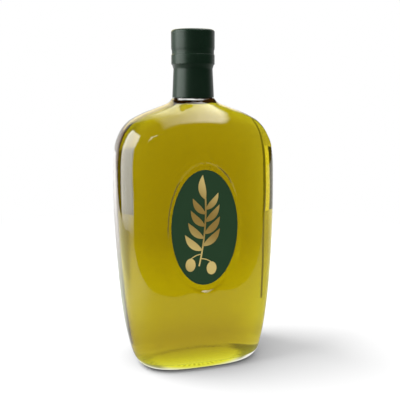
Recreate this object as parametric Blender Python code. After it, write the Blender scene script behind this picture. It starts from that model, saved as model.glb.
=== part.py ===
"""Flat glass flask of olive oil with a dark green capsule and an oval label set into its front.

Real size in metres. The flask stands on z = 0, at the centre of its foot, and its broad front
faces -Y. Lengths are given in millimetres and scaled once, where the points are made.
"""

import math

import bmesh
import bpy

MM = 0.001
SEGMENTS = 48
GAP = 0.3

# Outside of the flask: height, half width, half depth and corner exponent of a section.
# The exponent squares a section: 2 is an ellipse, and a larger one has fuller corners.
OUTSIDE = (
    (0.0, 48.5, 34.8, 3.1),
    (30.0, 54.3, 34.2, 3.5),
    (60.0, 57.3, 34.3, 3.6),
    (120.0, 60.2, 34.3, 3.2),
    (150.0, 59.8, 33.6, 3.2),
    (165.0, 58.4, 32.4, 3.2),
    (175.0, 55.2, 30.8, 2.8),
    (183.0, 49.5, 28.2, 2.5),
    (189.0, 39.6, 24.6, 2.3),
    (194.0, 26.6, 20.0, 2.1),
    (197.6, 17.9, 16.6, 2.0),
    (200.4, 15.6, 15.6, 2.0),
)
WALL = 3.8
HEEL_HEIGHT, HEEL_INSET = 9.9, 7.3

# Foot: a flat standing ring round a shallow hollow, under the floor
HOLLOW_HALF_WIDTH, HOLLOW_HALF_DEPTH, HOLLOW_CORNER, HOLLOW_RISE = 31.0, 19.0, 2.6, 2.5
FLOOR_THICKNESS = 4.5
FLOOR_HEEL_HEIGHT, FLOOR_HEEL_INSET = 9.0, 6.6
FLOOR_MIDDLE_SHARE = 0.5

# Neck inside the capsule, as radii at the heights of its root, its narrowing and its mouth
NECK_ROOT_HEIGHT, NECK_ROOT_RADIUS = 200.6, 14.2
NECK_TOP_HEIGHT, NECK_TOP_RADIUS = 222.0, 13.0
MOUTH_HEIGHT = 243.5
BORE_RADIUS, BORE_START = 10.4, 203.0

OIL_LEVEL = 198.8

# Oval seat pressed into the front, and the label that lies in it
LABEL_HEIGHT, LABEL_HALF_WIDTH, LABEL_HALF_HEIGHT, LABEL_THICKNESS = 109.0, 24.7, 42.3, 0.4
SEAT_DEPTH = 1.7
SEAT_HALF_WIDTH, SEAT_HALF_HEIGHT = 26.4, 46.5
SEAT_RIM_HALF_WIDTH, SEAT_RIM_HALF_HEIGHT = 28.0, 47.9
CUTTER_FRONT = 42.0

# Capsule: a long sleeve under a screw cap with a pressed groove, all one skin
SLEEVE_FOOT_HEIGHT, SLEEVE_FOOT_RADIUS = 200.9, 15.4
SLEEVE_TOP_HEIGHT, SLEEVE_TOP_RADIUS = 221.8, 14.4
SLEEVE_WALL = 0.8
CAP_RADIUS, CAP_FOOT_HEIGHT, CAP_HEIGHT = 15.9, 225.4, 249.5
CAP_FOLD, CAP_FOLD_HEIGHT = 0.4, 1.6
CAP_TOP_SHARE = 0.45
CAP_EDGE_RADIUS, CAP_CROWN = 2.0, 0.5
GROOVE_LOW, GROOVE_HIGH, GROOVE_DEPTH = 231.8, 236.0, 0.45
GROOVE_LOW_SLOPE, GROOVE_HIGH_SLOPE = 0.8, 1.4
CAP_BORE_RADIUS, CAP_CEILING_HEIGHT = 13.4, 244.6


def clear_scene():
    """Removes every object, so that the part starts from an empty scene."""
    for obj in list(bpy.data.objects):
        bpy.data.objects.remove(obj, do_unlink=True)


def principled(name, color, roughness, metallic=0.0, transmission=0.0, ior=1.5):
    """A Principled material of one colour."""
    material = bpy.data.materials.new(name)
    material.use_nodes = True
    shader = material.node_tree.nodes["Principled BSDF"]
    shader.inputs["Base Color"].default_value = (*color, 1.0)
    shader.inputs["Roughness"].default_value = roughness
    shader.inputs["Metallic"].default_value = metallic
    shader.inputs["Transmission Weight"].default_value = transmission
    shader.inputs["IOR"].default_value = ior
    return material


def slopes(points):
    """Slope at each (height, value) point that keeps the curve through them free of overshoot."""
    steps = [(v1 - v0) / (h1 - h0) for (h0, v0), (h1, v1) in zip(points, points[1:])]
    inner = [2 * s * t / (s + t) if s * t > 0 else 0.0 for s, t in zip(steps, steps[1:])]
    return [steps[0], *inner, steps[-1]]


def smooth(points, height):
    """Value at a height on the smooth curve through (height, value) points, level past its ends."""
    at = next((k for k in range(len(points) - 2) if height <= points[k + 1][0]), len(points) - 2)
    tangents = slopes(points)
    (h0, v0), (h1, v1) = points[at], points[at + 1]
    span = h1 - h0
    t = min(max((height - h0) / span, 0.0), 1.0)
    ends = v0 * (1 + 2 * t) * (1 - t) ** 2 + v1 * t * t * (3 - 2 * t)
    return ends + span * t * (1 - t) * (tangents[at] * (1 - t) - tangents[at + 1] * t)


def inset(points, wall):
    """The curve through (height, value) points moved inwards by a wall, square to itself."""
    moved = []
    for (height, value), slope in zip(points, slopes(points)):
        length = math.hypot(1.0, slope)
        moved.append((height + wall * slope / length, value - wall / length))
    return moved


def heel(height, heel_height, heel_inset):
    """How far a rounded heel pulls a section in at a height above the foot or the floor."""
    drop = min(max(1.0 - height / heel_height, 0.0), 1.0)
    return heel_inset * (1.0 - math.sqrt(1.0 - drop * drop))


def column(index):
    """One column of the stations of the outside, as (height, value) points."""
    return [(station[0], station[index]) for station in OUTSIDE]


def outside(height):
    """Half width, half depth and corner exponent of the outside of the flask at a height."""
    pull = heel(height, HEEL_HEIGHT, HEEL_INSET)
    half_width = smooth(column(1), height) - pull
    half_depth = smooth(column(2), height) - pull
    return half_width, half_depth, smooth(column(3), height)


def inside(height, wall):
    """Half width, half depth and corner exponent of a section that lies a wall inside the flask."""
    shrink = wall - WALL
    pull = heel(height - FLOOR_THICKNESS - shrink, FLOOR_HEEL_HEIGHT, FLOOR_HEEL_INSET)
    bore = (BORE_START, BORE_RADIUS - shrink)
    half_width = smooth([*inset(column(1), wall), bore], height) - pull
    half_depth = smooth([*inset(column(2), wall), bore], height) - pull
    return half_width, half_depth, smooth(column(3), height)


def oval(half_width, half_depth, corner, height):
    """Ring of points of a level section, anticlockwise from above, starting at +X."""
    ring = []
    for k in range(SEGMENTS):
        turn = 2 * math.pi * k / SEGMENTS
        across, along = math.cos(turn), math.sin(turn)
        x = math.copysign(abs(across) ** (2 / corner), across) * half_width
        y = math.copysign(abs(along) ** (2 / corner), along) * half_depth
        ring.append((x, y, height))
    return ring


def circle(radius, height):
    """Ring of points of a round level section."""
    return oval(radius, radius, 2.0, height)


def front(x, z):
    """Y of the front face of the flask at a place on it."""
    half_width, half_depth, corner = outside(z)
    return -half_depth * (1 - abs(x / half_width) ** corner) ** (1 / corner)


def front_oval(half_width, half_height, depth):
    """Ring of points round the label's centre, at a depth under the front face."""
    ring = []
    for k in range(SEGMENTS):
        turn = 2 * math.pi * k / SEGMENTS
        x = half_width * math.cos(turn)
        z = LABEL_HEIGHT + half_height * math.sin(turn)
        ring.append((x, front(x, z) + depth, z))
    return ring


def loft(name, rings, material):
    """Object whose closed mesh runs through rings of points and ends in a flat face at each end."""
    shape = bmesh.new()
    loops = [[shape.verts.new([value * MM for value in point]) for point in ring] for ring in rings]
    for near, far in zip(loops, loops[1:]):
        for k in range(SEGMENTS):
            after = (k + 1) % SEGMENTS
            shape.faces.new((near[k], near[after], far[after], far[k]))
    shape.faces.new(list(reversed(loops[0])))
    shape.faces.new(loops[-1])
    mesh = bpy.data.meshes.new(name)
    shape.to_mesh(mesh)
    shape.free()
    mesh.materials.append(material)
    mesh.shade_smooth()
    mesh.set_sharp_from_angle(angle=math.radians(35))
    obj = bpy.data.objects.new(name, mesh)
    bpy.context.scene.collection.objects.link(obj)
    return obj


def foot_rings():
    """Rings of the hollow under the foot, from its middle out to the standing ring."""
    rings = []
    for share in (0.35, 0.7, 1.0):
        rise = HOLLOW_RISE * (1 - share * share)
        rings.append(oval(HOLLOW_HALF_WIDTH * share, HOLLOW_HALF_DEPTH * share, HOLLOW_CORNER, rise))
    return rings


def outside_rings():
    """Rings of the outside of the flask, from the standing ring up to the mouth."""
    heel_heights = [HEEL_HEIGHT * (1 - math.cos(math.radians(angle))) for angle in (0, 25, 45, 65, 90)]
    body_heights = [25, 45, 70, 95, 120, 140, 153, 163, 170, 176, 181, 185.5, 189, 192, 195, 197.6]
    top = OUTSIDE[-1][0]
    rings = [oval(*outside(height), height) for height in (*heel_heights, *body_heights, top)]
    rings.append(circle(NECK_ROOT_RADIUS, NECK_ROOT_HEIGHT))
    rings.append(circle(NECK_TOP_RADIUS, NECK_TOP_HEIGHT))
    rings.append(circle(NECK_TOP_RADIUS, MOUTH_HEIGHT))
    return rings


def inside_rings(wall, top):
    """Rings of the flask's cavity, or of what fills it, from its floor up to a height."""
    floor = FLOOR_THICKNESS + wall - WALL
    heel_heights = [
        floor + FLOOR_HEEL_HEIGHT * (1 - math.cos(math.radians(angle))) for angle in (0, 25, 45, 65, 90)
    ]
    body_heights = [32, 50, 72, 95, 120, 140, 152, 161, 168, 173.5, 178.5, 183, 187, 190.5, 193.5, 196.5]
    heights = [height for height in (*heel_heights, *body_heights, BORE_START) if height < top]
    rings = [oval(*inside(height, wall), height) for height in (*heights, top)]
    middle = [(x * FLOOR_MIDDLE_SHARE, y * FLOOR_MIDDLE_SHARE, z) for x, y, z in rings[0]]
    return [middle, *rings]


def seat_cutter(material):
    """Solid that presses the label's oval seat into the front, its wall running on past the rim."""
    rings = []
    for share in (0.3, 0.65, 1.0):
        rings.append(front_oval(SEAT_HALF_WIDTH * share, SEAT_HALF_HEIGHT * share, SEAT_DEPTH))
    half_width = 2 * SEAT_RIM_HALF_WIDTH - SEAT_HALF_WIDTH
    half_height = 2 * SEAT_RIM_HALF_HEIGHT - SEAT_HALF_HEIGHT
    rings.append(front_oval(half_width, half_height, -SEAT_DEPTH))
    rings.append([(x, -CUTTER_FRONT, z) for x, _, z in rings[-1]])
    cutter = loft("seat_cutter", rings, material)
    cutter.hide_render = True
    cutter.display_type = "WIRE"
    return cutter


def glass_bottle():
    """Hollow clear flask: thick foot, level-sided body, domed shoulder and open neck."""
    glass = principled("clear_glass", (0.93, 0.96, 0.92), 0.02, transmission=1.0, ior=1.52)
    cavity = [circle(BORE_RADIUS, MOUTH_HEIGHT), *reversed(inside_rings(WALL, BORE_START))]
    bottle = loft("glass_bottle", [*foot_rings(), *outside_rings(), *cavity], glass)
    seat = bottle.modifiers.new("label_seat", "BOOLEAN")
    seat.operation = "DIFFERENCE"
    seat.solver = "EXACT"
    seat.object = seat_cutter(glass)
    return bottle


def olive_oil():
    """Oil that fills the flask up to the root of its neck, level on top."""
    oil = principled("golden_green_oil", (0.33, 0.25, 0.01), 0.02, transmission=0.6, ior=1.47)
    return loft("olive_oil", inside_rings(WALL + GAP, OIL_LEVEL), oil)


def capsule():
    """Dark green capsule over the neck: tapered sleeve, tucked ledge, groove and round top edge."""
    green = principled("dark_green_foil", (0.006, 0.018, 0.010), 0.38)
    profile = [
        (CAP_BORE_RADIUS, CAP_CEILING_HEIGHT),
        (CAP_BORE_RADIUS, NECK_TOP_HEIGHT),
        (SLEEVE_FOOT_RADIUS - SLEEVE_WALL, SLEEVE_FOOT_HEIGHT),
        (SLEEVE_FOOT_RADIUS, SLEEVE_FOOT_HEIGHT),
        (SLEEVE_TOP_RADIUS, SLEEVE_TOP_HEIGHT),
        (CAP_RADIUS - CAP_FOLD, CAP_FOOT_HEIGHT - CAP_FOLD_HEIGHT),
        (CAP_RADIUS, CAP_FOOT_HEIGHT),
        (CAP_RADIUS, GROOVE_LOW - GROOVE_LOW_SLOPE),
        (CAP_RADIUS - GROOVE_DEPTH, GROOVE_LOW),
        (CAP_RADIUS - GROOVE_DEPTH, GROOVE_HIGH - GROOVE_HIGH_SLOPE),
        (CAP_RADIUS, GROOVE_HIGH),
    ]
    edge_height = CAP_HEIGHT - CAP_CROWN - CAP_EDGE_RADIUS
    for angle in (0, 30, 60, 90):
        turn = math.radians(angle)
        radius = CAP_RADIUS - CAP_EDGE_RADIUS * (1 - math.cos(turn))
        profile.append((radius, edge_height + CAP_EDGE_RADIUS * math.sin(turn)))
    profile.append((CAP_RADIUS * CAP_TOP_SHARE, CAP_HEIGHT))
    return loft("capsule", [circle(radius, height) for radius, height in profile], green)


def label():
    """Thin oval label that lies in the seat and follows the curve of the front."""
    paper = principled("dark_green_label", (0.021, 0.051, 0.022), 0.55)
    back = SEAT_DEPTH - GAP
    face = back - LABEL_THICKNESS
    rings = []
    for share, depth in ((0.35, back), (0.7, back), (1.0, back), (1.0, face), (0.7, face), (0.35, face)):
        rings.append(front_oval(LABEL_HALF_WIDTH * share, LABEL_HALF_HEIGHT * share, depth))
    return loft("label", rings, paper)


def main():
    """Builds each piece and hangs them all on one empty at the foot."""
    clear_scene()
    base = bpy.data.objects.new("flask_base", None)
    bpy.context.scene.collection.objects.link(base)
    for piece in (glass_bottle(), olive_oil(), capsule(), label()):
        piece.parent = base
    bpy.data.objects["seat_cutter"].parent = base


if __name__ == "__main__":
    main()
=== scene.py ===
"""Looks of a flat glass flask of olive oil with a dark green capsule and an oval gold-foil label.

Every object is in metres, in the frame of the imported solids: the flask stands on z = 0 and its broad
front faces -Y. The bottle's own sizes are written in millimetres and scaled once, where its points
are made. Finishes, cards and lights are written in metres.
"""

import logging
import math
from dataclasses import dataclass, field
from enum import Enum
from typing import Sequence

import bpy
import numpy as np
from mathutils import Matrix, Vector


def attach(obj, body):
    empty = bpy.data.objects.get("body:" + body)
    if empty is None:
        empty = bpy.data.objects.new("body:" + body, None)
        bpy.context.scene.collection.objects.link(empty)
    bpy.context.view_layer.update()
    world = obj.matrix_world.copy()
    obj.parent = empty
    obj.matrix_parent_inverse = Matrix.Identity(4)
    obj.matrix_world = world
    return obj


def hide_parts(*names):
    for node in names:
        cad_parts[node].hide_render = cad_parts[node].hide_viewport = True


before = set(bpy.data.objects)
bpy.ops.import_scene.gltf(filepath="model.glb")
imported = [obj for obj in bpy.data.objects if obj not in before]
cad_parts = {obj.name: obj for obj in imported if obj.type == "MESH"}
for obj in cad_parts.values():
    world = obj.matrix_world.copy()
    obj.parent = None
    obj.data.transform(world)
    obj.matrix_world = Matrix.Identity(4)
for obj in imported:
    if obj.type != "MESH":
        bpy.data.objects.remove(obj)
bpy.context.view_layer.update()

LOG = logging.getLogger("flask")
MM = 0.001
WHITE = (1.0, 1.0, 1.0, 1.0)

Pair = tuple[float, float]
Triple = tuple[float, float, float]


class Node(str, Enum):
    """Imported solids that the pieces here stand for."""

    GLASS = "glass_bottle"
    OIL = "olive_oil"
    CAPSULE = "capsule"
    LABEL = "label"


class Slot(str, Enum):
    """Material slots of the record."""

    GLASS = "clear_glass"
    OIL = "olive_oil"
    CAPSULE = "green_capsule"
    LABEL = "green_label"
    GOLD = "gold_foil"


class Maths(str, Enum):
    """Kinds of Math node that shader expressions use."""

    SUM = "ADD"
    DIFFERENCE = "SUBTRACT"
    PRODUCT = "MULTIPLY"
    QUOTIENT = "DIVIDE"
    POWER = "POWER"
    SINE = "SINE"
    TURN = "ARCTAN2"


class Value:
    """A shader socket that takes part in Python expressions, each of which adds Math nodes."""

    def __init__(self, recipe: "Recipe", socket: bpy.types.NodeSocket) -> None:
        """Wraps one output socket of a recipe's node tree."""
        self.recipe = recipe
        self.socket = socket

    def _math(self, kind: Maths, first: "Value | float", second: "Value | float" = 0.0) -> "Value":
        """One Math node on two values."""
        return self.recipe.node("ShaderNodeMath", {"operation": kind.value}, {0: first, 1: second})

    def __add__(self, other: "Value | float") -> "Value":
        """Sum."""
        return self._math(Maths.SUM, self, other)

    __radd__ = __add__

    def __sub__(self, other: "Value | float") -> "Value":
        """Difference."""
        return self._math(Maths.DIFFERENCE, self, other)

    def __rsub__(self, other: float) -> "Value":
        """Difference from a number."""
        return self._math(Maths.DIFFERENCE, other, self)

    def __mul__(self, other: "Value | float") -> "Value":
        """Product."""
        return self._math(Maths.PRODUCT, self, other)

    __rmul__ = __mul__

    def __truediv__(self, other: "Value | float") -> "Value":
        """Quotient."""
        return self._math(Maths.QUOTIENT, self, other)

    def __pow__(self, other: float) -> "Value":
        """Power."""
        return self._math(Maths.POWER, self, other)

    def sine(self) -> "Value":
        """Sine of the value as an angle."""
        return self._math(Maths.SINE, self)

    def turn_from(self, across: "Value") -> "Value":
        """Angle of the direction that goes as far as this value along and so far across."""
        return self._math(Maths.TURN, self, across)

    def step(self, low: float, high: float) -> "Value":
        """Smooth step from 0 at low to 1 at high."""
        settings = {"interpolation_type": "SMOOTHSTEP"}
        return self.recipe.node("ShaderNodeMapRange", settings, {0: self, 1: low, 2: high})


class Recipe:
    """Node tree of one material, light or world, with one method that adds any node."""

    def __init__(self, tree: bpy.types.NodeTree) -> None:
        """Empties the tree, so that every node in it is one of the recipe's own."""
        tree.nodes.clear()
        self.tree = tree

    def add(self, kind: str, settings: dict, inputs: dict) -> bpy.types.Node:
        """Adds a node.

        Args:
            kind: Blender's name of the node type.
            settings: attributes set before the sockets, such as a Math node's operation.
            inputs: socket name or number to a value, a colour or a linked socket.

        Returns:
            The new node.
        """
        node = self.tree.nodes.new(kind)
        for name, value in settings.items():
            setattr(node, name, value)
        for key, value in inputs.items():
            socket = node.inputs[key]
            if isinstance(value, Value):
                self.tree.links.new(value.socket, socket)
            elif isinstance(value, bpy.types.NodeSocket):
                self.tree.links.new(value, socket)
            else:
                socket.default_value = value
        return node

    def node(self, kind: str, settings: dict, inputs: dict, output: int | str = 0) -> Value:
        """Adds a node and wraps one of its outputs."""
        return Value(self, self.add(kind, settings, inputs).outputs[output])

    def mix(self, share: Value, low: Value | tuple, high: Value | tuple) -> Value:
        """Colour between two colours."""
        inputs = {"Factor": share, 6: low, 7: high}
        return self.node("ShaderNodeMix", {"data_type": "RGBA"}, inputs, 2)

    def noise(self, scale: float, detail: float, where: Value) -> Value:
        """Noise from 0 to 1 at a place."""
        return self.node("ShaderNodeTexNoise", {}, {"Vector": where, "Scale": scale, "Detail": detail})

    def place(self) -> Value:
        """Place on the object, in metres."""
        return self.node("ShaderNodeTexCoord", {}, {}, "Object")

    def parts(self, vector: Value) -> tuple[Value, Value, Value]:
        """The three numbers of a vector."""
        split = self.add("ShaderNodeSeparateXYZ", {}, {0: vector})
        return tuple(Value(self, split.outputs[k]) for k in range(3))

    def scaled(self, vector: Value, factors: Sequence[float]) -> Value:
        """A vector multiplied number by number."""
        return self.node("ShaderNodeVectorMath", {"operation": "MULTIPLY"}, {0: vector, 1: factors})

    def dimmed(self, color: Value | Triple, share: Value) -> Value:
        """A colour multiplied by one number."""
        return self.node("ShaderNodeVectorMath", {"operation": "SCALE"}, {0: color, "Scale": share})

    def bump(self, height: Value, strength: float, distance: float) -> Value:
        """Normal tilted by a height in metres times a distance."""
        inputs = {"Height": height, "Strength": strength, "Distance": distance}
        return self.node("ShaderNodeBump", {}, inputs)

    def rays(self, *kinds: str) -> tuple[Value, ...]:
        """Whether the ray is of each kind, as 1 or 0."""
        path = self.add("ShaderNodeLightPath", {}, {})
        return tuple(Value(self, path.outputs[f"Is {kind} Ray"]) for kind in kinds)

    def clear(self, ior: float, color: Value | tuple = WHITE, **more: Value) -> bpy.types.Node:
        """Polished shader that light passes through.

        Args:
            ior: index of refraction, 1 where light goes straight on.
            color: what light keeps as it passes.
            more: further sockets, by name.

        Returns:
            The shader's node.
        """
        inputs = {"Base Color": color, "Roughness": 0.0, "IOR": ior, "Transmission Weight": 1.0, **more}
        return self.add("ShaderNodeBsdfPrincipled", {}, inputs)

    def between(self, share: Value, low: bpy.types.Node, high: bpy.types.Node) -> bpy.types.Node:
        """Shader between two shaders."""
        return self.add("ShaderNodeMixShader", {}, {0: share, 1: low.outputs[0], 2: high.outputs[0]})


class Finish:
    """A surface finish, made into one material the first time it is asked for."""

    name: str = "finish"

    def material(self) -> bpy.types.Material:
        """The finish as a Blender material."""
        made = bpy.data.materials.get(self.name)
        if made is None:
            made = bpy.data.materials.new(self.name)
            made.use_nodes = True
            recipe = Recipe(made.node_tree)
            ends = {"Surface": self.surface(recipe).outputs[0]}
            inside = self.volume(recipe)
            if inside is not None:
                ends["Volume"] = inside.outputs[0]
            recipe.add("ShaderNodeOutputMaterial", {}, ends)
        return made

    def surface(self, recipe: Recipe) -> bpy.types.Node:
        """The shader of the surface."""
        raise NotImplementedError

    def volume(self, recipe: Recipe) -> bpy.types.Node | None:
        """The shader of what is inside, if it colours light."""
        return None


@dataclass(frozen=True)
class ClearGlass(Finish):
    """Clear bottle glass, with the faint unevenness of a blown surface."""

    name: str = "polished_glass"
    ior: float = 1.52
    tint: Triple = (0.985, 0.995, 0.985)
    ripple_size: float = 0.022
    ripple_stretch: Triple = (1.0, 1.0, 0.45)
    ripple: float = 0.00035

    def surface(self, recipe: Recipe) -> bpy.types.Node:
        """Glass shader whose normal ripples slightly along the height."""
        where = recipe.scaled(recipe.place(), self.ripple_stretch)
        sway = recipe.noise(1.0 / self.ripple_size, 1.0, where)
        return recipe.clear(self.ior, (*self.tint, 1.0), Normal=recipe.bump(sway, 1.0, self.ripple))


@dataclass(frozen=True)
class WettedGlass(Finish):
    """Inner face of the glass where oil touches it: the two bend light almost alike."""

    name: str = "glass_against_oil"
    ior: float = 1.52 / 1.47

    def surface(self, recipe: Recipe) -> bpy.types.Node:
        """Glass shader with the small step in index between glass and oil."""
        return recipe.clear(self.ior)


@dataclass(frozen=True)
class FootGlass(Finish):
    """Underside of the foot, through which the sheet shows, knurled near its edge, with painted shade between
    the knurls and at its ends.

    Sizes are in metres. Places from the middle outwards are shares of the foot's size.
    """

    name: str = "foot_glass"
    half_width: float = 0.0412
    half_depth: float = 0.0275
    knurled: Pair = (0.70, 0.98)
    knurled_edge: float = 0.08
    knurls: float = 44.0
    # shade and ends_shade are painted shade colours: between the knurls and at the two ends
    shade: Triple = (0.26, 0.20, 0.05)
    speck_size: float = 0.0045
    specks: Pair = (0.25, 0.75)
    ends: Pair = (0.34, 0.66)
    ends_inner: Pair = (0.64, 0.86)
    ends_outer: Pair = (1.10, 1.20)
    ends_shade: Triple = (0.20, 0.20, 0.10)

    def surface(self, recipe: Recipe) -> bpy.types.Node:
        """Clear shader without a bend of light, with painted shade between the knurls and at the two ends."""
        place = recipe.place()
        across, along, _ = recipe.parts(place)
        outward = (across / self.half_width) ** 2.0
        from_middle = (outward + (along / self.half_depth) ** 2.0) ** 0.5
        (start, end), soft = self.knurled, self.knurled_edge
        ring = from_middle.step(start, start + soft) * (1.0 - from_middle.step(end - soft, end))
        speck = recipe.noise(1.0 / self.speck_size, 2.0, place).step(*self.specks)
        knurl = ((along.turn_from(across) * self.knurls).sine() * 0.5 + 0.5) * speck
        # painted shade: dark wedges at the two ends of the foot
        ends = outward.step(*self.ends) * from_middle.step(*self.ends_inner)
        ends = ends * (1.0 - from_middle.step(*self.ends_outer))
        # painted shade between the knurls, in a ring near the edge
        color = recipe.mix(ring * knurl, WHITE, (*self.shade, 1.0))
        return recipe.clear(1.0, recipe.mix(ends, color, (*self.ends_shade, 1.0)))


@dataclass(frozen=True)
class GoldenOil(Finish):
    """Golden-green olive oil: its sides lie in the glass, its level surface meets the air."""

    name: str = "golden_oil"
    ior: float = 1.47
    density: float = 120.0
    passes: Triple = (0.862, 0.816, 0.125)
    level: float = 0.1988
    level_depth: Pair = (0.00004, 0.00002)

    def surface(self, recipe: Recipe) -> bpy.types.Node:
        """No bend of light at the sides, and the oil's own at its level surface."""
        _, _, height = recipe.parts(recipe.place())
        low, high = (self.level - depth for depth in self.level_depth)
        return recipe.between(height.step(low, high), recipe.clear(1.0), recipe.clear(self.ior))

    def volume(self, recipe: Recipe) -> bpy.types.Node:
        """Absorption that leaves yellow-green in thin oil and gold in deep oil."""
        inputs = {"Color": (*self.passes, 1.0), "Density": self.density}
        return recipe.add("ShaderNodeVolumeAbsorption", {}, inputs)


@dataclass(frozen=True)
class CapsuleSkin(Finish):
    """Very dark green satin skin of the capsule, finely brushed round, with a trace of wear."""

    name: str = "satin_capsule"
    deep: Triple = (0.0018, 0.0125, 0.0045)
    light: Triple = (0.0045, 0.0195, 0.0085)
    roughness: float = 0.36
    gloss: float = 0.20
    grain_size: float = 0.0006
    grain_stretch: Triple = (0.12, 0.12, 1.0)
    grain_share: float = 0.4
    grain_wear: float = 0.10
    patch_scale: float = 60.0
    patch_wear: float = 0.08
    relief: Pair = (0.25, 0.00006)

    def surface(self, recipe: Recipe) -> bpy.types.Node:
        """Satin shader with a fine grain that runs round the neck."""
        place = recipe.place()
        grain = recipe.noise(1.0 / self.grain_size, 2.0, recipe.scaled(place, self.grain_stretch))
        patch = recipe.noise(self.patch_scale, 3.0, place)
        share = patch * (1.0 - self.grain_share) + grain * self.grain_share
        wear = (grain - 0.5) * self.grain_wear + (patch - 0.5) * self.patch_wear
        inputs = {
            "Base Color": recipe.mix(share, (*self.deep, 1.0), (*self.light, 1.0)),
            "Roughness": wear + self.roughness,
            "IOR": 1.5,
            "Specular IOR Level": self.gloss,
            "Normal": recipe.bump(grain, *self.relief),
        }
        return recipe.add("ShaderNodeBsdfPrincipled", {}, inputs)


@dataclass(frozen=True)
class LabelPaper(Finish):
    """Dark green coated paper with a fine fibre."""

    name: str = "coated_paper"
    deep: Triple = (0.0105, 0.0450, 0.0135)
    light: Triple = (0.0165, 0.0570, 0.0200)
    roughness: float = 0.52
    gloss: float = 0.25
    fibre_scale: float = 3200.0
    fibre_stretch: Triple = (1.0, 1.0, 0.35)
    fibre_wear: float = 0.12
    cloud_scale: float = 45.0
    relief: Pair = (0.2, 0.00004)

    def surface(self, recipe: Recipe) -> bpy.types.Node:
        """Coated paper shader, a little mottled."""
        place = recipe.place()
        fibre = recipe.noise(self.fibre_scale, 2.0, recipe.scaled(place, self.fibre_stretch))
        cloud = recipe.noise(self.cloud_scale, 3.0, place)
        inputs = {
            "Base Color": recipe.mix(fibre * 0.5 + cloud * 0.5, (*self.deep, 1.0), (*self.light, 1.0)),
            "Roughness": (fibre - 0.5) * self.fibre_wear + self.roughness,
            "IOR": 1.45,
            "Specular IOR Level": self.gloss,
            "Normal": recipe.bump(fibre, *self.relief),
        }
        return recipe.add("ShaderNodeBsdfPrincipled", {}, inputs)


@dataclass(frozen=True)
class GoldFoil(Finish):
    """Hot-stamped gold foil, with soft light and dark bands of painted reflection across it.

    The bands of painted reflection are in radians a metre, up and across.
    """

    name: str = "stamped_gold"
    # bright and dark are the lit and shaded ends of the painted reflection bands
    bright: Triple = (0.80, 0.62, 0.22)
    dark: Triple = (0.30, 0.18, 0.03)
    roughness: float = 0.34
    metallic: float = 0.22
    bands: Pair = (95.0, 60.0)
    contrast: float = 1.4
    grain_scale: float = 2600.0
    grain_share: float = 0.15
    grain_wear: float = 0.18
    relief: Pair = (0.25, 0.00004)

    def surface(self, recipe: Recipe) -> bpy.types.Node:
        """Metal shader with bands of painted reflection across it and a fine grain."""
        place = recipe.place()
        across, _, height = recipe.parts(place)
        # painted reflection: light and dark bands in the base colour, mixed below with the real grain
        phase = height * self.bands[0] + across * self.bands[1]
        painted_reflection = (phase.sine() * 0.5 + 0.5) ** self.contrast
        grain = recipe.noise(self.grain_scale, 2.0, place)
        share = painted_reflection * (1.0 - self.grain_share) + grain * self.grain_share
        inputs = {
            "Base Color": recipe.mix(share, (*self.dark, 1.0), (*self.bright, 1.0)),
            "Metallic": self.metallic,
            "Roughness": (grain - 0.5) * self.grain_wear + self.roughness,
            "Normal": recipe.bump(grain, *self.relief),
        }
        return recipe.add("ShaderNodeBsdfPrincipled", {}, inputs)


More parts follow.
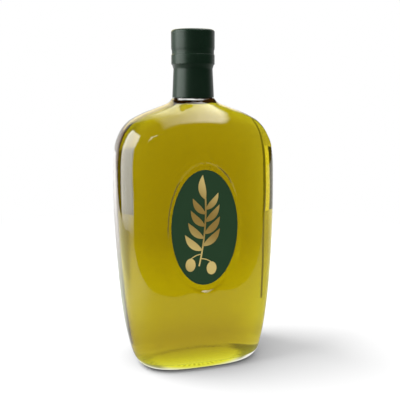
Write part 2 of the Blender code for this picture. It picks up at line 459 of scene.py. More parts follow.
@dataclass(frozen=True)
class StudioSheet(Finish):
    """Plain white studio sheet that the flask stands on, which melts into the bright backdrop far away.

    Through glass and in mirror images it glows with painted light: painted pools of light close behind
    and to the left of the flask, tinted green close behind, a painted shadow behind it to the right,
    painted yellow light under it and a painted reflection brightness. Pairs of numbers are ranges in
    metres over which something sets in: behind the flask, beyond it, and to its left.
    """

    name: str = "studio_sheet"
    tone: Triple = (0.80, 0.80, 0.80)
    fade: Pair = (0.30, 0.55)
    # painted light seen through glass: an even glow, pools close behind and to the left, and a green tint
    # close behind
    through_glass: float = 0.94
    lit_near: float = 0.48
    lit_left: float = 0.30
    painted_green_light_near: Triple = (0.92, 1.0, 0.85)
    # painted reflection brightness of the sheet in mirror images
    mirrored_front: float = 0.42
    mirrored_back: float = 0.95
    mirrored_left: float = 0.95
    behind: Pair = (0.0, 0.12)
    beyond: Pair = (0.12, 0.36)
    to_left: Pair = (0.06, 0.20)
    # painted shadow behind the flask to its right, seen through glass
    shade: float = 0.42
    shade_slope: Pair = (0.45, 0.70)
    shade_start: Pair = (0.10, 0.20)
    foot_size: Pair = (0.046, 0.030)
    foot_edge: Pair = (0.75, 1.25)
    # painted yellow light under the flask, standing in for light that passed through the oil
    painted_light_under_flask: Triple = (0.79, 0.78, 0.05)

    def surface(self, recipe: Recipe) -> bpy.types.Node:
        """Matte white near the flask, glowing far from it, and glowing with painted light through glass and
        in mirror images.
        """
        bent, reflected, glossy = recipe.rays("Transmission", "Reflection", "Glossy")
        mirrored = reflected * glossy
        place = recipe.place()
        far = recipe.node("ShaderNodeVectorMath", {"operation": "LENGTH"}, {0: place}, "Value")
        inputs = {"Base Color": (*self.tone, 1.0), "Roughness": 1.0, "Specular IOR Level": 0.0}
        matte = recipe.add("ShaderNodeBsdfPrincipled", {}, inputs)
        backdrop = recipe.add("ShaderNodeEmission", {}, {"Color": WHITE, "Strength": 1.0})
        glow = recipe.dimmed(*self.glow(recipe, place, bent, mirrored))
        glow = recipe.add("ShaderNodeEmission", {}, {"Color": glow, "Strength": 1.0})
        near = recipe.between(far.step(*self.fade), matte, backdrop)
        return recipe.between(bent + mirrored, near, glow)

    def glow(self, recipe: Recipe, place: Value, bent: Value, mirrored: Value) -> tuple[Value, Value]:
        """Colour and strength of the sheet's painted light through glass and in mirror images.

        Args:
            recipe: the recipe that the nodes go into.
            place: place on the sheet, in metres.
            bent: 1 for a ray that came through glass.
            mirrored: 1 for a ray that was mirrored.

        Returns:
            The colour and the strength.
        """
        across, along, _ = recipe.parts(place)
        behind = along.step(*self.behind)
        left = (0.0 - across).step(*self.to_left)
        close = (1.0 - along.step(*self.beyond)) * behind
        shaded = (across / along).step(*self.shade_slope) * along.step(*self.shade_start)
        # painted pools of light close behind and to the left of the flask
        seen = left * self.lit_left + self.through_glass + close * self.lit_near
        # painted shadow behind the flask to its right
        seen = seen * (1.0 - shaded * self.shade)
        # painted reflection: dark before the flask, bright behind it and to its left
        shine = behind * (self.mirrored_back - self.mirrored_front) + self.mirrored_front
        shine = shine + left * self.mirrored_left
        half_width, half_depth = self.foot_size
        from_middle = (across / half_width) ** 2.0 + (along / half_depth) ** 2.0
        foot = 1.0 - from_middle.step(*self.foot_edge)
        # painted green-tinted light close behind the flask
        tint = recipe.mix(close, WHITE, (*self.painted_green_light_near, 1.0))
        # painted yellow light under the flask, seen through glass
        tint = recipe.mix(foot * bent, tint, (*self.painted_light_under_flask, 1.0))
        return tint, bent * seen + mirrored * shine


@dataclass(frozen=True)
class CardFace(Finish):
    """Even face of a card that stands beside the flask, bright or dark."""

    name: str = "card_face"
    glow: float = 1.0

    def surface(self, recipe: Recipe) -> bpy.types.Node:
        """Glow of the card."""
        return recipe.add("ShaderNodeEmission", {}, {"Color": WHITE, "Strength": self.glow})


def linked(name: str, data: bpy.types.ID) -> bpy.types.Object:
    """Makes an object of the data and links it to the scene."""
    obj = bpy.data.objects.new(name, data)
    bpy.context.scene.collection.objects.link(obj)
    return obj


def modelled(name: str, points: Sequence, faces: Sequence, *finishes: Finish) -> bpy.types.Object:
    """Makes an object of a new mesh.

    Args:
        name: name of the mesh and of the object.
        points: places in metres.
        faces: the points of each face, by number.
        finishes: finishes of its material slots, in order.

    Returns:
        The object, linked to the scene.
    """
    mesh = bpy.data.meshes.new(name)
    mesh.from_pydata(points, [], faces)
    for finish in finishes:
        mesh.materials.append(finish.material())
    return linked(name, mesh)


@dataclass(frozen=True)
class Curve:
    """Smooth monotone curve through (height, value) stations, level past its ends."""

    heights: tuple[float, ...]
    values: tuple[float, ...]

    def slopes(self) -> np.ndarray:
        """Slope at each station that keeps the curve free of overshoot."""
        steps = np.diff(self.values) / np.diff(self.heights)
        first, second = steps[:-1], steps[1:]
        same = first * second > 0
        inner = np.where(same, 2 * first * second / np.where(same, first + second, 1.0), 0.0)
        return np.concatenate([steps[:1], inner, steps[-1:]])

    def at(self, height: np.ndarray) -> np.ndarray:
        """Values of the curve.

        Args:
            height: the heights, in any shape.

        Returns:
            The value at each height.
        """
        heights, values, slopes = np.array(self.heights), np.array(self.values), self.slopes()
        k = np.clip(np.searchsorted(heights, height) - 1, 0, len(heights) - 2)
        span = heights[k + 1] - heights[k]
        t = np.clip((height - heights[k]) / span, 0.0, 1.0)
        ends = values[k] * (1 + 2 * t) * (1 - t) ** 2 + values[k + 1] * t * t * (3 - 2 * t)
        return ends + span * t * (1 - t) * (slopes[k] * (1 - t) - slopes[k + 1] * t)

    def inset(self, wall: float) -> "Curve":
        """The curve moved inwards, square to itself.

        Args:
            wall: how far it moves.

        Returns:
            The inner curve.
        """
        slopes = self.slopes()
        length = np.hypot(1.0, slopes)
        heights = np.array(self.heights) + wall * slopes / length
        return Curve(tuple(heights), tuple(np.array(self.values) - wall / length))

    def then(self, height: float, value: float) -> "Curve":
        """The curve with one more station above its last."""
        return Curve((*self.heights, height), (*self.values, value))


@dataclass(frozen=True)
class FlaskForm:
    """Sections of the flask, in millimetres, shared by glass, oil and label.

    A station is a height with the half width, half depth and corner exponent of the section there.
    """

    stations: tuple[tuple[float, float, float, float], ...] = (
        (0.0, 48.5, 34.8, 3.1),
        (30.0, 54.3, 34.2, 3.5),
        (60.0, 57.3, 34.3, 3.6),
        (120.0, 60.2, 34.3, 3.2),
        (150.0, 59.8, 33.6, 3.2),
        (165.0, 58.4, 32.4, 3.2),
        (175.0, 55.2, 30.8, 2.8),
        (183.0, 49.5, 28.2, 2.5),
        (189.0, 39.6, 24.6, 2.3),
        (194.0, 26.6, 20.0, 2.1),
        (197.6, 17.9, 16.6, 2.0),
        (200.4, 15.6, 15.6, 2.0),
    )
    wall: float = 3.8
    heel_height: float = 9.9
    heel_inset: float = 7.3
    floor_thickness: float = 4.5
    floor_heel_height: float = 9.0
    floor_heel_inset: float = 6.6
    bore_radius: float = 10.4
    bore_start: float = 203.0
    oil_level: float = 198.8
    label_height: float = 109.0
    label_half_width: float = 24.7
    label_half_height: float = 42.3
    seat_depth: float = 1.7
    seat_half_width: float = 25.5
    seat_half_height: float = 46.3
    seat_rim_half_width: float = 28.8
    seat_rim_half_height: float = 48.1

    def curve(self, index: int) -> Curve:
        """One column of the stations as a curve."""
        return Curve(tuple(s[0] for s in self.stations), tuple(s[index] for s in self.stations))

    @staticmethod
    def heel(height: np.ndarray, heel_height: float, heel_inset: float) -> np.ndarray:
        """How far a rounded heel pulls a section in at heights above the foot or the floor."""
        drop = np.clip(1.0 - height / heel_height, 0.0, 1.0)
        return heel_inset * (1.0 - np.sqrt(1.0 - drop * drop))

    def outside(self, height: np.ndarray) -> tuple[np.ndarray, np.ndarray, np.ndarray]:
        """Half width, half depth and corner exponent of the outside at heights."""
        pull = self.heel(height, self.heel_height, self.heel_inset)
        return self.curve(1).at(height) - pull, self.curve(2).at(height) - pull, self.curve(3).at(height)

    def inside(self, height: np.ndarray, wall: float) -> tuple[np.ndarray, np.ndarray, np.ndarray]:
        """Sections of what lies inside the outside.

        Args:
            height: heights of the sections.
            wall: how far inside, square to the outside.

        Returns:
            Half widths, half depths and corner exponents at the heights.
        """
        shrink = wall - self.wall
        above = height - self.floor_thickness - shrink
        pull = self.heel(above, self.floor_heel_height, self.floor_heel_inset)
        bore = (self.bore_start, self.bore_radius - shrink)
        half_width = self.curve(1).inset(wall).then(*bore).at(height) - pull
        half_depth = self.curve(2).inset(wall).then(*bore).at(height) - pull
        return half_width, half_depth, self.curve(3).at(height)

    def front(self, x: np.ndarray, z: np.ndarray) -> np.ndarray:
        """Y of the front face before the seat is pressed into it."""
        half_width, half_depth, corner = self.outside(z)
        return -half_depth * (1 - np.abs(x / half_width) ** corner) ** (1 / corner)

    def seat(self, x: np.ndarray, z: np.ndarray) -> np.ndarray:
        """Depth of the label's seat, with a rounded rim and foot.

        Args:
            x: places across the front.
            z: their heights.

        Returns:
            How deep the seat lies under the front face at each place.
        """
        up = z - self.label_height
        floor = np.hypot(x / self.seat_half_width, up / self.seat_half_height)
        rim = np.hypot(x / self.seat_rim_half_width, up / self.seat_rim_half_height)
        share = np.clip((floor - 1) / np.maximum(floor - rim, 1e-6), 0.0, 1.0)
        return self.seat_depth * (1 - share * share * (3 - 2 * share))


FORM = FlaskForm()


@dataclass(frozen=True)
class Skin:
    """A closed mesh that runs through rings of points, with a flat face at each end."""

    name: str
    rings: np.ndarray
    finishes: tuple[Finish, ...]

    def build(self, sharp_angle: float = 40.0) -> bpy.types.Object:
        """Makes the object.

        Args:
            sharp_angle: angle in degrees over which an edge is drawn sharp.

        Returns:
            The object, linked to the scene.
        """
        rows, columns, _ = self.rings.shape
        index = np.arange(rows * columns).reshape(rows, columns)
        ahead = np.roll(index, -1, axis=1)
        quads = np.stack([index[:-1], ahead[:-1], ahead[1:], index[1:]], axis=-1).reshape(-1, 4)
        faces = [*quads.tolist(), index[0][::-1].tolist(), index[-1].tolist()]
        obj = modelled(self.name, (self.rings.reshape(-1, 3) * MM).tolist(), faces, *self.finishes)
        obj.data.shade_smooth()
        obj.data.set_sharp_from_angle(angle=math.radians(sharp_angle))
        return obj


def section_rings(turns: np.ndarray, sizes: tuple, heights: np.ndarray) -> np.ndarray:
    """Rings of points of level sections.

    Args:
        turns: the angle of each column, anticlockwise from +X, seen from above.
        sizes: half widths, half depths and corner exponents, one of each for a height.
        heights: the height of each ring.

    Returns:
        Points as an array of rings by columns by 3.
    """
    half_width, half_depth, corner = (
        np.broadcast_to(np.asarray(size, float), heights.shape)[:, None] for size in sizes
    )
    across, along = np.cos(turns)[None, :], np.sin(turns)[None, :]
    x = np.sign(across) * np.abs(across) ** (2 / corner) * half_width
    y = np.sign(along) * np.abs(along) ** (2 / corner) * half_depth
    return np.stack([x, y, np.broadcast_to(heights[:, None], x.shape)], axis=-1)


def round_rings(turns: np.ndarray, profile: Sequence[Pair]) -> np.ndarray:
    """Rings of a turned profile of (radius, height) points."""
    radius = np.array([p[0] for p in profile])
    return section_rings(turns, (radius, radius, 2.0), np.array([p[1] for p in profile]))


def eased(size: float, steps: int = 14) -> np.ndarray:
    """Heights over a rounded heel, close together at its foot."""
    return size * (1 - np.cos(np.radians(np.linspace(0, 90, steps))))


def to_middle(ring: np.ndarray, shares: Sequence[float], rise: float = 0.0) -> np.ndarray:
    """Copies of a ring that shrink towards its middle.

    Args:
        ring: the ring's points.
        shares: the size of each copy, as a share of the ring's.
        rise: how far the middle rises over the ring, as a dome.

    Returns:
        The copies, in the order of the shares.
    """
    middle = ring.mean(axis=0)
    rings = []
    for share in shares:
        copy = middle + (ring - middle) * share
        copy[:, 2] += rise * (1 - share * share)
        rings.append(copy)
    return np.stack(rings)


@dataclass
class GlassFlask:
    """The hollow flask: thick foot, level-sided body with the label's seat, shoulder and neck.

    Steps are the distances between points, in millimetres. The hollow under the foot has a half width,
    a half depth and a corner exponent, and the neck's outside is given as (radius, height) points.
    """

    form: FlaskForm = FORM
    fine_step: float = 0.7
    coarse_step: float = 1.7
    shoulder_step: float = 0.91
    inner_step: float = 3.0
    inner_shoulder: float = 150.0
    inner_shoulder_step: float = 1.0
    seat_margin: float = 4.0
    hollow_size: Triple = (31.0, 19.0, 2.6)
    hollow_rise: float = 2.5
    hollow_shares: tuple[float, ...] = (0.04, 0.2, 0.4, 0.6, 0.75, 0.88, 0.96, 1.0)
    floor_shares: tuple[float, ...] = (0.04, 0.25, 0.5, 0.75, 0.9)
    foot_rows: int = 10
    neck: tuple[Pair, ...] = ((14.2, 200.6), (13.0, 222.0), (13.0, 243.5))
    bore_ring: float = 220.0

    def turns(self) -> np.ndarray:
        """Column angles: close together across the seat, wider elsewhere, even along the section."""
        fine = np.linspace(0, 2 * math.pi, 20001)
        level = np.array([self.form.label_height])
        x, y, _ = section_rings(fine, self.form.outside(level), level)[0].T
        seat = (y < 0) & (np.abs(x) < self.form.seat_rim_half_width + self.seat_margin)
        step = np.where(seat, self.fine_step, self.coarse_step)
        walked = np.concatenate([[0], np.cumsum(np.hypot(np.diff(x), np.diff(y)) / step[1:])])
        count = int(walked[-1] // 4) * 4
        return np.interp(np.arange(count) * walked[-1] / count, walked, fine)

    def heights(self) -> np.ndarray:
        """Ring heights of the outside, from the foot to the ledge under the capsule."""
        heel, ledge = eased(self.form.heel_height), self.form.stations[-1][0]
        reach = self.form.seat_rim_half_height + self.seat_margin
        low, high = self.form.label_height - reach, self.form.label_height + reach
        below = np.arange(heel[-1] + self.coarse_step, low, self.coarse_step)
        across = np.arange(low, high, self.fine_step)
        above = np.arange(high, ledge, self.shoulder_step)
        return np.concatenate([heel, below, across, above, [ledge]])

    def outside_rings(self, turns: np.ndarray) -> np.ndarray:
        """Outside of the body with the seat pressed into its front."""
        rings = section_rings(turns, self.form.outside(self.heights()), self.heights())
        facing = rings[..., 1] < 0
        rings[..., 1] += np.where(facing, self.form.seat(rings[..., 0], rings[..., 2]), 0.0)
        return rings

    def foot_rings(self, turns: np.ndarray, standing: np.ndarray) -> np.ndarray:
        """Underside from the middle of its hollow to the ring that it stands on.

        Args:
            turns: column angles.
            standing: the lowest ring of the outside.

        Returns:
            The rings, from the middle outwards.
        """
        edge = section_rings(turns, self.hollow_size, np.zeros(1))[0]
        dome = to_middle(edge, self.hollow_shares, self.hollow_rise)
        between = [edge + (standing - edge) * share for share in (0.3, 0.7)]
        return np.concatenate([dome, np.stack(between)])

    def inside_rings(self, turns: np.ndarray, wall: float, top: float) -> np.ndarray:
        """A body inside the outside, from the middle of its floor upwards.

        Args:
            turns: column angles.
            wall: how far inside it lies.
            top: height of its last ring.

        Returns:
            The rings, from the middle of the floor.
        """
        heel = self.form.floor_thickness + wall - self.form.wall + eased(self.form.floor_heel_height)
        body = np.arange(heel[-1] + self.inner_step, self.inner_shoulder, self.inner_step)
        step = self.inner_shoulder_step
        shoulder = np.arange(self.inner_shoulder + step, top - 0.4, step)
        heights = np.concatenate([heel, body, shoulder, [top]])
        rings = section_rings(turns, self.form.inside(heights, wall), heights)
        return np.concatenate([to_middle(rings[0], self.floor_shares), rings])

    def head_rings(self, turns: np.ndarray) -> np.ndarray:
        """Inside of the neck, from the straight bore down to just above the oil."""
        heights = np.arange(self.form.bore_start, self.form.oil_level + 0.3, -self.fine_step)
        return section_rings(turns, self.form.inside(heights, self.form.wall), heights)

    def build(self) -> bpy.types.Object:
        """Makes the flask as one closed mesh, whose wetted faces and foot have finishes of their own."""
        turns = self.turns()
        outside = self.outside_rings(turns)
        foot = self.foot_rings(turns, outside[0])
        bore = [(self.form.bore_radius, height) for height in (self.neck[-1][1], self.bore_ring)]
        neck = round_rings(turns, (*self.neck, *bore))
        cavity = self.inside_rings(turns, self.form.wall, self.form.oil_level)
        rings = np.concatenate([foot, outside, neck, self.head_rings(turns), cavity[::-1]])
        flask = Skin("flask_glass", rings, (ClearGlass(), WettedGlass(), FootGlass())).build()
        finish = np.zeros(len(flask.data.polygons), dtype=np.int32)
        # The last two faces close the middle of the foot and the middle of the floor.
        finish[(len(rings) - len(cavity)) * len(turns):] = 1
        finish[:(len(foot) + self.foot_rows) * len(turns)] = 2
        finish[-2] = 2
        flask.data.polygons.foreach_set("material_index", finish)
        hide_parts(Node.GLASS.value)
        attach(flask, "root")
        return flask


@dataclass
class OilFill:
    """The oil, which reaches a hair into the glass so that no air shows between them."""

    form: FlaskForm = FORM
    reach: float = 0.15

    def build(self) -> bpy.types.Object:
        """Makes the oil as one closed mesh with a level top."""
        flask = GlassFlask(form=self.form)
        turns = flask.turns()[::2]
        body = flask.inside_rings(turns, self.form.wall - self.reach, self.form.oil_level)
        rings = np.concatenate([body, to_middle(body[-1], (0.85, 0.5, 0.04))])
        oil = Skin("oil_body", rings, (GoldenOil(level=self.form.oil_level * MM),)).build()
        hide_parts(Node.OIL.value)
        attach(oil, "root")
        return oil


@dataclass
class Capsule:
    """Capsule over the neck: tapered sleeve, tucked ledge, pressed groove and rounded top.

    The groove's points say how far in from the cap's radius and how far above its edge they lie.
    """

    columns: int = 128
    sleeve_foot: Pair = (15.4, 200.9)
    sleeve_top: Pair = (14.35, 221.6)
    sleeve_wall: float = 0.8
    lip: float = 0.2
    cap_radius: float = 15.85
    band_foot: float = 225.2
    fold: float = 0.9
    groove_low: float = 231.8
    groove_high: float = 236.0
    groove_start: tuple[Pair, ...] = ((0.0, -0.9), (0.03, -0.55), (0.16, -0.2), (0.41, 0.0), (0.45, 0.35))
    groove_end: tuple[Pair, ...] = ((0.45, -2.2), (0.37, -1.5), (0.10, -0.5), (0.0, 0.2))
    height: float = 249.5
    edge_radius: float = 1.8
    crown: float = 0.45
    bore_radius: float = 13.4
    bore_foot: float = 222.0
    ceiling: float = 244.6

    def arc(self, middle: Pair, radius: float, start: float, stop: float, steps: int) -> list[Pair]:
        """Points of an arc in the profile, by angles in degrees from straight out."""
        angles = np.radians(np.linspace(start, stop, steps))
        return [(middle[0] + radius * math.cos(a), middle[1] + radius * math.sin(a)) for a in angles]

    def profile(self) -> list[Pair]:
        """Profile from the middle of the ceiling, down the bore, and up the outside to the top."""
        radius, lip = self.cap_radius, self.lip
        (foot_r, foot_z), (top_r, top_z) = self.sleeve_foot, self.sleeve_top
        points = [(0.5, self.ceiling), (self.bore_radius, self.ceiling), (self.bore_radius, self.bore_foot)]
        points += [(foot_r - self.sleeve_wall, foot_z)]
        points += self.arc((foot_r - lip, foot_z + lip), lip, -90, 0, 4)
        rise = np.linspace(0.06, 0.97, 10)
        points += [(foot_r + (top_r - foot_r) * t, foot_z + (top_z - foot_z) * t) for t in rise]
        points += [(top_r, top_z), (top_r + 0.25, top_z + 0.5), (radius - 0.75, self.band_foot - 1.3)]
        points += self.arc((radius - self.fold, self.band_foot), self.fold, -40, 0, 5)
        points += [(radius, self.band_foot + 0.3)]
        points += [(radius - deep, self.groove_low + up) for deep, up in self.groove_start]
        points += [(radius - deep, self.groove_high + up) for deep, up in self.groove_end]
        edge = self.height - self.crown - self.edge_radius
        points += [(radius, (self.groove_high + edge) / 2), (radius, edge - 0.3)]
        points += self.arc((radius - self.edge_radius, edge), self.edge_radius, 0, 82, 8)
        inner = radius - self.edge_radius
        top = edge + self.edge_radius
        return points + [(inner * t, top + self.crown * (1 - t * t)) for t in (0.95, 0.8, 0.55, 0.3, 0.03)]

    def build(self) -> bpy.types.Object:
        """Makes the capsule as one closed turned mesh."""
        turns = np.linspace(0, 2 * math.pi, self.columns, endpoint=False)
        capsule = Skin("capsule_skin", round_rings(turns, self.profile()), (CapsuleSkin(),)).build(30.0)
        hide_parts(Node.CAPSULE.value)
        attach(capsule, "root")
        return capsule


@dataclass
class OvalLabel:
    """Thin oval label that lies in the seat and follows the curve of the front."""

    form: FlaskForm = FORM
    thickness: float = 0.22
    lift: float = 0.04
    columns: int = 160

    def face(self, x: np.ndarray, z: np.ndarray, above: float = 0.0) -> np.ndarray:
        """Y of the label's face, or of a place above it towards the viewer."""
        return self.form.front(x, z) + self.form.seat_depth - self.lift - self.thickness - above

    def ring(self, share: float, under: float) -> np.ndarray:
        """Ring of points round the label.

        Args:
            share: its size, as a share of the label's.
            under: how far it lies under the label's face.

        Returns:
            The points of the ring.
        """
        turns = np.linspace(0, 2 * math.pi, self.columns, endpoint=False)
        x = self.form.label_half_width * share * np.cos(turns)
        z = self.form.label_height + self.form.label_half_height * share * np.sin(turns)
        return np.stack([x, self.face(x, z, -under), z], axis=-1)

    def build(self) -> bpy.types.Object:
        """Makes the label as one closed mesh with a soft edge."""
        shares = (0.02, 0.15, 0.3, 0.45, 0.6, 0.75, 0.88, 0.97)
        back = [self.ring(share, self.thickness) for share in (*shares, 0.998)]
        edge = [self.ring(1.0, self.thickness * share) for share in (0.6, 0.3)] + [self.ring(0.998, 0.02)]
        front = [self.ring(share, 0.0) for share in reversed(shares)]
        label = Skin("label_oval", np.stack([*back, *edge, *front]), (LabelPaper(),)).build()
        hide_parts(Node.LABEL.value)
        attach(label, "root")
        return label


Outline = tuple[np.ndarray, np.ndarray]


@dataclass
class OliveSprig:
    """Generic olive sprig stamped in gold foil on the label: a bowed stem, paired leaves and two olives.

    Each shape is an outline of two edges that run side by side, as arrays of (x, z) points in
    millimetres from the middle of the label. Places on the stem are shares of its height. A leaf's
    lean is in degrees at the stem's foot, with how much it loses towards the tip.
    """

    label: OvalLabel = field(default_factory=OvalLabel)
    thickness: float = 0.10
    strips: int = 6
    stem_height: float = 55.5
    stem_half_width: float = 0.55
    stem_bow: Triple = (-4.6, 13.0, -8.4)
    stem_end: float = 0.90
    leaf_size: Pair = (18.8, 5.7)
    leaf_lean: Pair = (50.0, 16.0)
    leaf_bow: float = 0.09
    leaf_fullness: Pair = (0.85, 0.9)
    leaf_shares: tuple[float, ...] = (0.24, 0.40, 0.56, 0.72)
    leaf_taper: float = 0.28
    leaf_stagger: float = 0.03
    tip_leaf: Triple = (0.88, -6.0, 0.95)
    olive_radii: Pair = (3.7, 4.9)
    stalk: Pair = (8.2, 3.2)
    stalk_shares: Pair = (0.16, 0.10)

    def stem_at(self, share: np.ndarray | float) -> np.ndarray:
        """Points of the stem's middle line.

        Args:
            share: how far up the stem, from 0 at its foot to 1 at its tip.

        Returns:
            The points as (x, z).
        """
        share = np.asarray(share, dtype=float)
        start, slope, bend = self.stem_bow
        across = start + slope * share + bend * share * share
        return np.stack([across, self.stem_height * (share - 0.5)], axis=-1)

    def band(self, middle: np.ndarray, half_width: np.ndarray | float) -> Outline:
        """Outline of a band.

        Args:
            middle: points of its middle line.
            half_width: half its width, one number or one for each point.

        Returns:
            The band's two edges.
        """
        ahead = np.gradient(middle, axis=0)
        ahead /= np.linalg.norm(ahead, axis=1)[:, None]
        square = np.stack([ahead[:, 1], -ahead[:, 0]], axis=-1)
        aside = square * np.broadcast_to(half_width, len(middle))[:, None]
        return middle - aside, middle + aside

    def leaf(self, foot: np.ndarray, lean: float, length: float, width: float) -> Outline:
        """Pointed leaf from its foot.

        Args:
            foot: where the leaf starts.
            lean: angle in degrees from straight up, positive to the right.
            length: length from foot to tip.
            width: greatest width.

        Returns:
            The outline of the leaf, bowed a little towards the tip of the stem.
        """
        share = np.linspace(0.0, 1.0, 33)
        turn = math.radians(lean)
        along = np.array([math.sin(turn), math.cos(turn)])
        aside = np.array([-math.cos(turn), math.sin(turn)]) * math.copysign(1.0, lean)
        bow = self.leaf_bow * length * np.sin(math.pi * share)
        early, round_off = self.leaf_fullness
        middle = foot + along * (share * length)[:, None] - aside * bow[:, None]
        half = width / 2 * np.sin(math.pi * np.clip(share, 0.004, 0.996) ** early) ** round_off
        return self.band(middle, np.maximum(half, 0.05))

    def olive(self, middle: np.ndarray) -> Outline:
        """Egg-shaped olive.

        Args:
            middle: its middle.

        Returns:
            The outline of the olive.
        """
        radius, half_length = self.olive_radii
        down = np.cos(np.linspace(0.02, math.pi - 0.02, 33))
        half = radius * np.sqrt(1 - down * down)
        line = middle + np.stack([0 * down, half_length * down], axis=-1)
        return line - np.stack([half, 0 * half], -1), line + np.stack([half, 0 * half], -1)

    def shapes(self) -> list[Outline]:
        """Outlines of the stem, the leaves and the olives with their stalks."""
        length, width = self.leaf_size
        share, lean, size = self.tip_leaf
        shapes = [self.band(self.stem_at(np.linspace(0.0, self.stem_end, 41)), self.stem_half_width)]
        shapes.append(self.leaf(self.stem_at(share), lean, length * size, width * size))
        for share in self.leaf_shares:
            size = 1.0 - self.leaf_taper * share
            for side in (-1.0, 1.0):
                foot = self.stem_at(share + self.leaf_stagger * side)
                lean = side * (self.leaf_lean[0] - self.leaf_lean[1] * share)
                shapes.append(self.leaf(foot, lean, length * size, width * size))
        for side, share in zip((-1.0, 1.0), self.stalk_shares):
            fork = self.stem_at(share)
            reach = np.linspace(0.0, 1.0, 13)[:, None] * np.array([side * self.stalk[0], 0.0])
            drop = -self.stalk[1] * np.linspace(0.0, 1.0, 13) ** 2
            path = fork + reach + np.stack([0 * drop, drop], axis=-1)
            shapes.append(self.band(path, self.stem_half_width * 0.6))
            shapes.append(self.olive(path[-1] - np.array([0.0, self.olive_radii[1] * 0.9])))
        return shapes

    def build(self) -> bpy.types.Object:
        """Makes all shapes as closed shells of one mesh, flush with the label's curve."""
        points, faces = [], []
        shares = np.linspace(0.0, 1.0, self.strips + 1)[:, None, None]
        for left, right in self.shapes():
            grid = left[None] * (1 - shares) + right[None] * shares
            x, z = grid[..., 0], grid[..., 1] + self.label.form.label_height
            start = sum(len(block) for block in points)
            for above in (self.thickness, -0.02):
                points.append(np.stack([x, self.label.face(x, z, above), z], axis=-1).reshape(-1, 3))
            top = start + np.arange(x.size).reshape(x.shape)
            low = top + x.size
            over = [top[:-1, :-1], top[1:, :-1], top[1:, 1:], top[:-1, 1:]]
            under = [low[:-1, :-1], low[:-1, 1:], low[1:, 1:], low[1:, :-1]]
            for corners in (over, under):
                faces += np.stack(corners, -1).reshape(-1, 4).tolist()
            rim = np.concatenate([top[0, :-1], top[:-1, -1], top[-1, :0:-1], top[:0:-1, 0]])
            ahead = np.roll(rim, -1)
            faces += np.stack([rim, ahead, ahead + x.size, rim + x.size], -1).tolist()
        places = (np.concatenate(points) * MM).tolist()
        sprig = modelled("olive_sprig", places, faces, GoldFoil())
        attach(sprig, "root")
        return sprig


@dataclass(frozen=True)
class Card:
    """An arched card round the flask that only shows through glass, where it draws a bright or dark line.

    Angles are in degrees from straight behind the flask, positive to its left. The card runs from a
    radius and a height in metres at its lower edge to those at its upper, which leans further round.
    """

    name: str
    angles: Pair
    glow: float
    low: Pair = (0.50, 0.0)
    high: Pair = (0.50, 0.16)
    lean: float = 0.0

    def build(self) -> bpy.types.Object:
        """Makes the card as a strip of flat faces."""
        turns = np.radians(np.linspace(*self.angles, 25))
        edges = []
        for (radius, height), shift in ((self.low, 0.0), (self.high, math.radians(self.lean))):
            edges += [(-radius * math.sin(a + shift), radius * math.cos(a + shift), height) for a in turns]
        count = len(turns)
        faces = [(k, k + 1, k + 1 + count, k + count) for k in range(count - 1)]
        obj = modelled(self.name, edges, faces, CardFace(name=f"{self.name}_face", glow=self.glow))
        obj.visible_camera = obj.visible_diffuse = obj.visible_glossy = obj.visible_shadow = False
        return obj


@dataclass(frozen=True)
class Softbox:
    """A rectangular soft light: its middle, the point that it faces and its size, in metres.

    Its glow, in times white, may differ between its two sides and rise over its height, and it fades
    over a share of its size at its edges. Only what mirrors shows it.
    """

    name: str
    place: Triple
    target: Triple
    size: Pair
    glow: Pair
    edge: float = 0.06
    rise: float = 0.0
    tint: Triple = (1.0, 1.0, 1.0)

    def face(self, data: bpy.types.Light) -> None:
        """Gives the light its glow from side to side and its soft edges.

        Args:
            data: the light's data.
        """
        data.use_nodes = True
        recipe = Recipe(data.node_tree)
        across, up, _ = recipe.parts(recipe.node("ShaderNodeNewGeometry", {}, {}, "Parametric"))
        ways = (across, 1.0 - across, up, 1.0 - up)
        soft = math.prod(way.step(0.0, self.edge) for way in ways)
        near, far = self.glow
        level = (across.step(0.0, 1.0) * (far - near) + near) * ((up - 0.5) * self.rise + 1.0)
        color = recipe.dimmed(self.tint, level * soft)
        shine = recipe.add("ShaderNodeEmission", {}, {"Color": color, "Strength": 1.0})
        recipe.add("ShaderNodeOutputLight", {}, {"Surface": shine.outputs[0]})

    def build(self) -> bpy.types.Object:
        """Makes the light, whose power follows from its size, for a glow of one at a strength of one."""
        data = bpy.data.lights.new(self.name, "AREA")
        data.shape = "RECTANGLE"
        data.size, data.size_y = self.size
        data.energy = math.pi * self.size[0] * self.size[1]
        self.face(data)
        obj = linked(self.name, data)
        obj.location = self.place
        obj.rotation_euler = (Vector(self.place) - Vector(self.target)).to_track_quat("Z", "Y").to_euler()
        obj.visible_camera = obj.visible_diffuse = obj.visible_transmission = False
        return obj


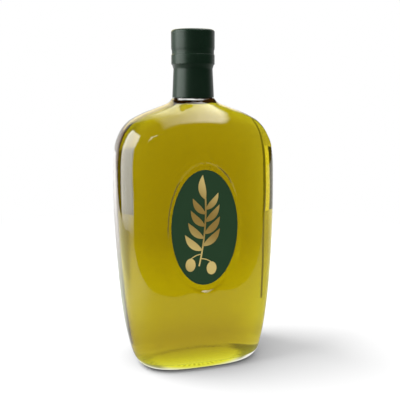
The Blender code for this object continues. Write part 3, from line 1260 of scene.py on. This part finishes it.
@dataclass
class Studio:
    """White sheet, soft lights and the camera at the photograph's viewing angle.

    The camera's places are in millimetres and its angles in degrees, with the focal length, the
    frame and the horizon in pixels of the photograph. The sheet's sizes are in metres.
    """

    focal_px: float = 579.3
    frame_px: float = 400.0
    distance: float = 435.1
    side_shift: float = 4.93
    eye_height: float = 209.3
    turn_deg: float = 15.19
    horizon_row: float = 85.9
    roll_rad: float = -0.002
    sheet_left: float = -0.485
    sheet_front: float = -0.195
    sheet_corner: float = 0.16
    sheet_reach: float = 2.2
    sheet_drop: float = 0.0002
    lights: tuple[Softbox, ...] = (
        Softbox(
            "left_softbox", (-0.65, -0.02, 0.39), (0.0, -0.02, 0.39),
            size=(0.78, 0.98), glow=(8.3, 8.3), edge=0.12, rise=0.62,
        ),
        Softbox(
            "overhead_softbox", (0.092, 0.02, 0.69), (0.092, 0.02, 0.0),
            size=(0.56, 1.12), glow=(8.0, 1.6), edge=0.18,
        ),
        Softbox(
            "warm_panel", (0.05, 1.0, 0.72), (0.05, 0.0, 0.72),
            size=(1.14, 0.72), glow=(1.8, 1.8), edge=0.12, tint=(1.0, 0.80, 0.25),
        ),
        Softbox(
            "small_strip", (-0.285, -0.54, 0.60), (-0.036, -0.028, 0.174),
            size=(0.20, 0.034), glow=(6.0, 9.0), edge=0.35,
        ),
    )
    cards: tuple[Card, ...] = (
        Card("right_flag", (-91.0, -27.0), 0.25, high=(0.50, 0.34)),
        Card("left_line", (5.2, 9.6), 0.36),
        Card("left_card", (10.6, 18.0), 1.6),
        Card("left_flag", (19.0, 64.0), 0.12),
        Card("floor_line", (-1.4, 2.2), 0.45, (0.15, 0.0006), (0.50, 0.0006), 6.5),
    )
    key_strength: float = 0.85
    key_tilt: float = 51.0
    key_heading: float = -17.0
    key_angle: float = 42.0
    fill: float = 0.92
    viewer_side: float = 0.02
    behind: float = 0.93
    polished_from: Pair = (0.80, 0.93)
    satin_from: Pair = (-0.1, 0.5)

    def camera(self) -> bpy.types.Object:
        """Makes the camera and gives it to the scene."""
        data = bpy.data.cameras.new("camera")
        data.sensor_width = 36.0
        data.lens = self.focal_px / self.frame_px * data.sensor_width
        data.clip_start, data.clip_end = 0.01, 20.0
        turn = math.radians(self.turn_deg)
        pitch = math.atan((self.frame_px / 2 - self.horizon_row) / self.focal_px)
        right = Vector((math.cos(turn), -math.sin(turn), 0.0))
        ahead = Vector((math.sin(turn), math.cos(turn), 0.0))
        look = ahead * math.cos(pitch) + Vector((0.0, 0.0, -math.sin(pitch)))
        up = right.cross(look)
        eye = right * self.side_shift * MM - ahead * self.distance * MM + Vector((0, 0, self.eye_height * MM))
        axes = Matrix((right, up, -look)).transposed() @ Matrix.Rotation(self.roll_rad, 3, "Z")
        obj = linked("camera", data)
        obj.matrix_world = Matrix.Translation(eye) @ axes.to_4x4()
        bpy.context.scene.camera = obj
        return obj

    def sheet(self) -> bpy.types.Object:
        """Makes the level white sheet, whose front and left edges lie near the flask, with a round corner."""
        left, front, corner, reach = self.sheet_left, self.sheet_front, self.sheet_corner, self.sheet_reach
        turns = np.radians(np.linspace(180.0, 270.0, 13))
        middle = (left + corner, front + corner)
        outline = [(middle[0] + corner * math.cos(a), middle[1] + corner * math.sin(a), 0.0) for a in turns]
        outline += [(reach, front, 0.0), (reach, reach, 0.0), (left, reach, 0.0)]
        obj = modelled("studio_sheet", outline, [tuple(range(len(outline)))], StudioSheet())
        obj.location.z = -self.sheet_drop
        return obj

    def key(self) -> bpy.types.Object:
        """Adds the broad light from the left that only lights matte things and throws the soft shadow."""
        data = bpy.data.lights.new("key", "SUN")
        data.energy = self.key_strength * math.pi
        data.angle = math.radians(self.key_angle)
        obj = linked("key", data)
        turn, tilt = math.radians(self.key_heading), math.radians(self.key_tilt)
        ahead = Vector((math.cos(turn) * math.cos(tilt), math.sin(turn) * math.cos(tilt), -math.sin(tilt)))
        obj.rotation_euler = (-ahead).to_track_quat("Z", "Y").to_euler()
        obj.visible_glossy = obj.visible_transmission = False
        return obj

    def world(self) -> None:
        """White surroundings, which polish and satin mirror as bright behind the flask and dark before it."""
        world = bpy.data.worlds.new("studio")
        bpy.context.scene.world = world
        world.use_nodes = True
        world.cycles.sampling_method = "NONE"
        recipe = Recipe(world.node_tree)
        reflected, glossy, diffuse, sharp = recipe.rays("Reflection", "Glossy", "Diffuse", "Singular")
        _, back, up = recipe.parts(recipe.node("ShaderNodeTexCoord", {}, {}, "Generated"))
        polished = (back / (1.0 - up * up) ** 0.5).step(*self.polished_from)
        satin = back.step(*self.satin_from)
        dim = (satin + (polished - satin) * sharp) * (self.behind - self.viewer_side) + self.viewer_side
        tone = 1.0 - reflected * glossy * (1.0 - dim) - diffuse * (1.0 - self.fill)
        color = recipe.dimmed(WHITE[:3], tone)
        background = recipe.add("ShaderNodeBackground", {}, {"Color": color, "Strength": 1.0})
        recipe.add("ShaderNodeOutputWorld", {}, {"Surface": background.outputs[0]})

    def build(self) -> None:
        """Makes the studio."""
        self.camera()
        self.sheet()
        self.world()
        self.key()
        for piece in (*self.lights, *self.cards):
            piece.build()
        view = bpy.context.scene.view_settings
        view.view_transform = "Standard"
        view.look = "None"
        cycles = bpy.context.scene.cycles
        cycles.max_bounces = 24
        cycles.transmission_bounces = 24
        cycles.glossy_bounces = 12
        cycles.transparent_max_bounces = 16
        cycles.caustics_reflective = False
        cycles.caustics_refractive = False


def main() -> None:
    """Builds each part of the bottle and the studio."""
    logging.basicConfig(level=logging.INFO, format="%(name)s %(message)s")
    Studio().build()
    for sub_assembly in (GlassFlask(), OilFill(), Capsule(), OvalLabel(), OliveSprig()):
        piece = sub_assembly.build()
        LOG.info("%s: %d faces", piece.name, len(piece.data.polygons))


if __name__ == "__main__":
    main()
